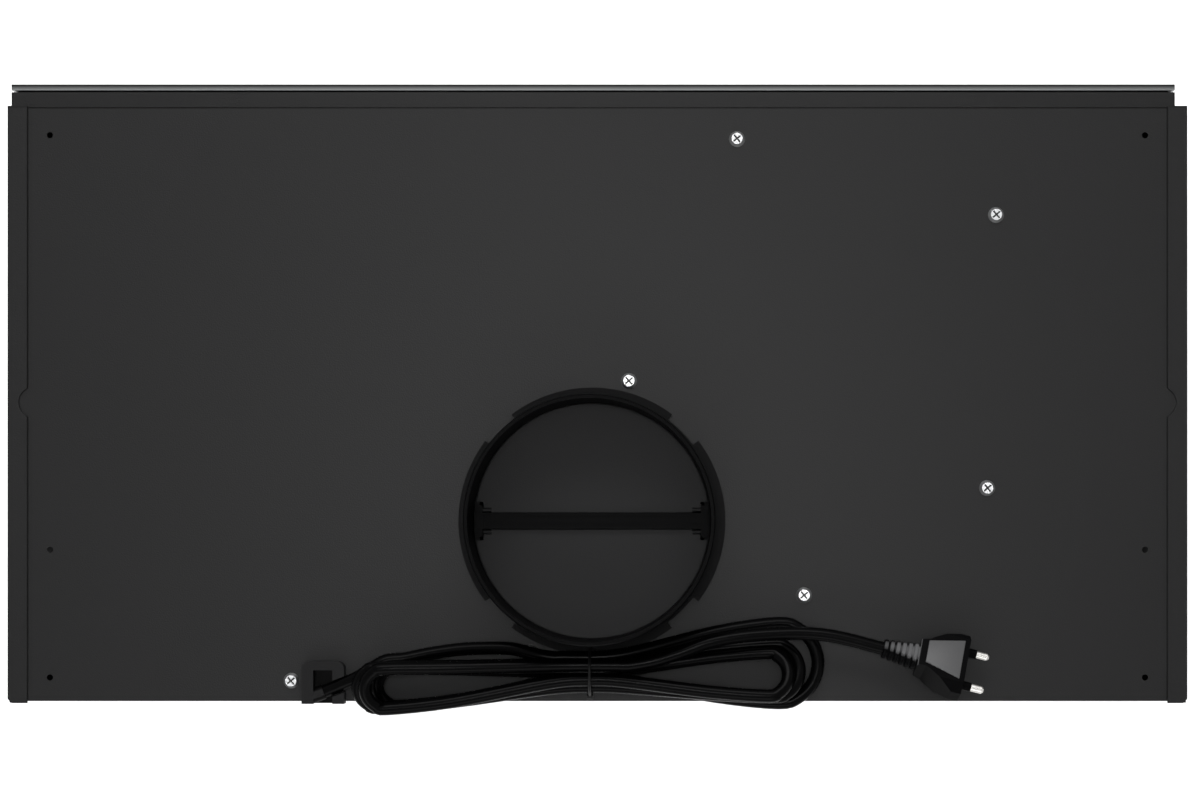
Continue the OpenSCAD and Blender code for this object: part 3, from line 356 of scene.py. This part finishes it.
BLACK = (0.0011, 0.0011, 0.0012)
looks = {name: surface(name, **values) for name, values in {
    "black_plastic": dict(color=BLACK, rough=0.42, grain=1800, bump=0.2, spec=0.022),
    "flap_plastic": dict(color=(0.0105, 0.0105, 0.0108), rough=0.5, grain=1800, bump=0.2, spec=0.1),
    "cord_pvc": dict(color=(0.0009, 0.0009, 0.0010), rough=0.25, grain=700, bump=0.08, mottle=0.2,
                     patch=40, spec=0.03),
    "tie_wire": dict(color=(0.004, 0.004, 0.004), rough=0.4, grain=1500, bump=0.2, spec=0.1),
    "fascia_glass": dict(color=(0.24, 0.25, 0.25), rough=0.1, grain=60, bump=0.01, mottle=0.08,
                         spec=0.4),
    "foam": dict(color=(0.002, 0.002, 0.002), rough=0.9, grain=2500, bump=0.8, spec=0.02),
    "zinc": dict(color=(0.55, 0.56, 0.57), rough=0.34, metal=1, bump=0.15, mottle=0.15, patch=200),
    "filter_alloy": dict(color=(0.60, 0.61, 0.62), rough=0.38, metal=1, grain=500,
                         stretch=(0.04, 1, 1)),
    "filter_mesh": dict(color=(0.50, 0.51, 0.52), rough=0.42, metal=1, bump=0.2, patch=60),
    "blower_plastic": dict(color=(0.02, 0.02, 0.022), rough=0.55, grain=1500, bump=0.25),
    "bright_steel": dict(color=(0.68, 0.68, 0.69), rough=0.24, metal=1, bump=0.05),
    "motor_iron": dict(color=(0.24, 0.23, 0.22), rough=0.5, metal=1, grain=400, bump=0.3,
                       stretch=(1, 1, 12)),
    "die_cast": dict(color=(0.52, 0.53, 0.54), rough=0.5, metal=1, grain=1200, bump=0.4),
    "bush_rubber": dict(color=(0.015, 0.015, 0.015), rough=0.75, grain=1500, bump=0.3),
    "capacitor_can": dict(color=(0.66, 0.66, 0.65), rough=0.35, bump=0.05),
    "wire_pvc": dict(color=(0.03, 0.03, 0.033), rough=0.5),
    "button_caps": dict(color=(0.42, 0.43, 0.44), rough=0.28, grain=1500, bump=0.05, lacquer=0.2),
    "lamp_housing": dict(color=(0.55, 0.56, 0.57), rough=0.32, metal=1, bump=0.08),
    "lamp_lens": dict(color=(0.80, 0.80, 0.76), rough=0.5, grain=2200, bump=0.5, mottle=0.04),
    "pin_nickel": dict(color=(0.50, 0.49, 0.47), rough=0.28, metal=1, bump=0.04),
}.items()}
looks["black_coat"] = coat("powder_coat")

# Pieces that are painted alone or differ from their slot's look
own_looks = {
    "top_panel": coat("panel_coat"),
    "side_panel_left": coat("left_coat"),
    "side_panel_right": coat("right_coat"),
    "visor_end_caps": coat("cap_coat"),
    "cord_gland": surface("gland_plastic", (0.0145, 0.0145, 0.0148), 0.45, grain=1500, bump=0.25,
                          spec=0.04),
    "duct_collar": surface("collar_plastic", (0.001, 0.001, 0.0011), 0.42, grain=1800, bump=0.2,
                           spec=0.022),
    "plug_body": surface("plug_plastic", (0.0025, 0.0025, 0.0027), 0.35, grain=1200, bump=0.12,
                         spec=0.012),
    "top_screws": surface("screw_zinc", (0.46, 0.465, 0.47), 0.4, metal=1, grain=1500, bump=0.15,
                          mottle=0.1, patch=300),
}
for part in frame["record"]["subparts"]:
    skins = frame["nodes"][part["node"]].data.materials
    skins.clear()
    skins.append(own_looks.get(part["node"], looks[part["material_slot"]]))
curve.materials.append(looks["cord_pvc"])
# light grey sheet on the plug's top, standing for a painted highlight
highlight_sheet.data.materials.append(surface("plug_highlight_grey", (0.075, 0.075, 0.077), 0.45, grain=1500, bump=0.3,
                                  spec=0.3))
for piece in lattices:
    piece.data.materials.append(looks["filter_mesh"])


# Second colours. A mask is an axis, the place where it starts and the place where it is full.

# painted shade for the unlit rounded edges along the seams
SEAM_SHADE = (0.002, 0.002, 0.002)

# Collar: the flange, under the wall. Gland: painted shade in the recess that the cord leaves from
FLANGE = ("Z", TOP + 0.0028, TOP + 0.0024)
RECESS_SHADE = [("X", OUTLET_X - 0.0050, OUTLET_X - 0.0048), ("X", OUTLET_X + 0.0050, OUTLET_X + 0.0048),
          ("Y", 0.1408, 0.1410), ("Z", TOP + 0.0074, TOP + 0.0072)]

# Visor: the glass's front and the outer ends of the two caps
GLASS_FRONT = ("Y", FRONT_Y + 0.0028, FRONT_Y + 0.0008)
CAP_ENDS = [("X", -0.2939, -0.2943), ("X", 0.2987, 0.2991)]

# Seams: painted shade on the unlit rounded edges of the top panel and of the side panels' strips,
# which have a notch on each side
PANEL_FRONT = ("Y", PANEL_Y + 0.0007, PANEL_Y + 0.0003)
BESIDE_NOTCH = [("Y", 0.0120, 0.0124), ("Y", -0.0020, -0.0024)]
STRIP_TOP = ("Z", TOP - 0.0004, TOP - 0.0002)
STRIP_FRONT = ("Y", PANEL_Y + 0.0003, PANEL_Y - 0.0001)

# Screws: painted shade on the floor of the cross. Plug, in its own axes: a painted highlight on the
# tops of the strain relief's ribs, on their upper side
CROSS_FLOOR_SHADE = [("Z", TOP + 0.0014, TOP + 0.0012), ("Z", TOP + 0.0005, TOP + 0.0007)]
FACING_UP = ("Z", 0.8, 0.9)
RIB_HIGHLIGHT = ("Z", 0.0042, 0.0054)
ON_RELIEF = ("X", RELIEF_L + 0.0004, RELIEF_L)

paint(own_looks["duct_collar"], (0.0045, 0.0045, 0.0047), FLANGE)
# painted shade in the gland's recess
paint(own_looks["cord_gland"], (0.0008, 0.0008, 0.0008), *RECESS_SHADE)
paint(looks["fascia_glass"], (0.004, 0.004, 0.004), GLASS_FRONT)
for cap_end in CAP_ENDS:
    paint(own_looks["visor_end_caps"], BLACK, cap_end)
# painted shade along the seams of the top panel and the side panels' strips
paint(own_looks["top_panel"], SEAM_SHADE, PANEL_FRONT)
for side, name in ((-1, "side_panel_left"), (1, "side_panel_right")):
    panel_edge = ("X", side * (SEAM_X - 0.0006), side * (SEAM_X - 0.0003))
    strip_edge = ("X", side * (SEAM_X + 0.0006), side * (SEAM_X + 0.0003))
    for beyond in BESIDE_NOTCH:
        paint(own_looks["top_panel"], SEAM_SHADE, panel_edge, beyond)
    paint(own_looks[name], SEAM_SHADE, STRIP_TOP, strip_edge)
    paint(own_looks[name], SEAM_SHADE, STRIP_TOP, STRIP_FRONT)
# painted shade on the upward floor of each screw's cross
normal = new_node(own_looks["top_screws"].node_tree, "NewGeometry").outputs["Normal"]
paint(own_looks["top_screws"], (0.03, 0.03, 0.03), *CROSS_FLOOR_SHADE, (*FACING_UP, normal))

plug_tree = own_looks["plug_body"].node_tree
axes = new_node(plug_tree, "Mapping")
axes.vector_type = "TEXTURE"
axes.inputs["Location"].default_value = plug_place.translation
axes.inputs["Rotation"].default_value = (-PLUG_ROLL, 0, PLUG_TURN)
links(plug_tree, (new_node(plug_tree, "TexCoord").outputs["Object"], axes.inputs["Vector"]))
in_plug = axes.outputs["Vector"]
# painted highlight on the upper tops of the strain relief's ribs
paint(own_looks["plug_body"], (0.13, 0.13, 0.133), (*RIB_HIGHLIGHT, in_plug), (*ON_RELIEF, in_plug))


# Studio: a white room, and a white floor that can be looked through from below

FLOOR_SIZE = 8
FLOOR_GLOW = 0.78
ROOM_LIGHT = 0.15


def background_rays(tree):
    """One for rays from the camera, a mirror or glass, which see the plain white background."""
    path = new_node(tree, "LightPath")
    return combine(tree, "MAXIMUM", path.outputs["Is Camera Ray"], path.outputs["Is Glossy Ray"],
                   path.outputs["Is Transmission Ray"])


bpy.ops.mesh.primitive_plane_add(size=FLOOR_SIZE, location=(0, 0, 0))
floor = bpy.context.object
floor.name = "floor"
paper = surface("floor", (0.78, 0.78, 0.78), 0.7, grain=300, bump=0.02, mottle=0.01)
floor.data.materials.append(paper)
tree = paper.node_tree
glow = new_node(tree, "Math", {1: FLOOR_GLOW})
glow.operation = "MULTIPLY"
upper = tree.nodes["Principled BSDF"]
upper.inputs["Emission Color"].default_value = (1, 1, 1, 1)
lower = new_node(tree, "BsdfTransparent")
one_sided = new_node(tree, "MixShader")
from_below = new_node(tree, "NewGeometry").outputs["Backfacing"]
links(tree, (background_rays(tree), glow.inputs[0]),
      (glow.outputs[0], upper.inputs["Emission Strength"]), (from_below, one_sided.inputs[0]),
      (upper.outputs[0], one_sided.inputs[1]), (lower.outputs[0], one_sided.inputs[2]),
      (one_sided.outputs[0], tree.nodes["Material Output"].inputs["Surface"]))

world = bpy.data.worlds.new("studio")
bpy.context.scene.world = world
world.use_nodes = True
tree = world.node_tree
sky = tree.nodes["Background"]
sky.inputs["Color"].default_value = (1, 1, 1, 1)
level = new_node(tree, "MapRange", {"To Min": ROOM_LIGHT, "To Max": 1.0})
links(tree, (background_rays(tree), level.inputs["Value"]),
      (level.outputs["Result"], sky.inputs["Strength"]))


def softbox(name, place, aim, size, power, spread=math.pi):
    """A rectangular light that faces the point it is aimed at."""
    light = add_object(name, bpy.data.lights.new(name, "AREA"))
    light.data.shape = "RECTANGLE"
    light.data.size, light.data.size_y = size
    light.data.energy = power
    light.data.spread = spread
    light.location = place
    light.rotation_euler = (Vector(aim) - Vector(place)).to_track_quat("-Z", "Y").to_euler()


softbox("key", place=(0.1, -1.5, 1.5), aim=(0, 0, 0.1), size=(1.6, 0.7), power=32)
softbox("overhead", place=(0, 0.02, 1.75), aim=(0, 0.02, 0.1), size=(0.3, 0.3), power=0.27,
        spread=math.radians(32))
softbox("fill", place=(0.3, 1.5, 1.2), aim=(0, 0, 0.1), size=(1.6, 0.7), power=12)
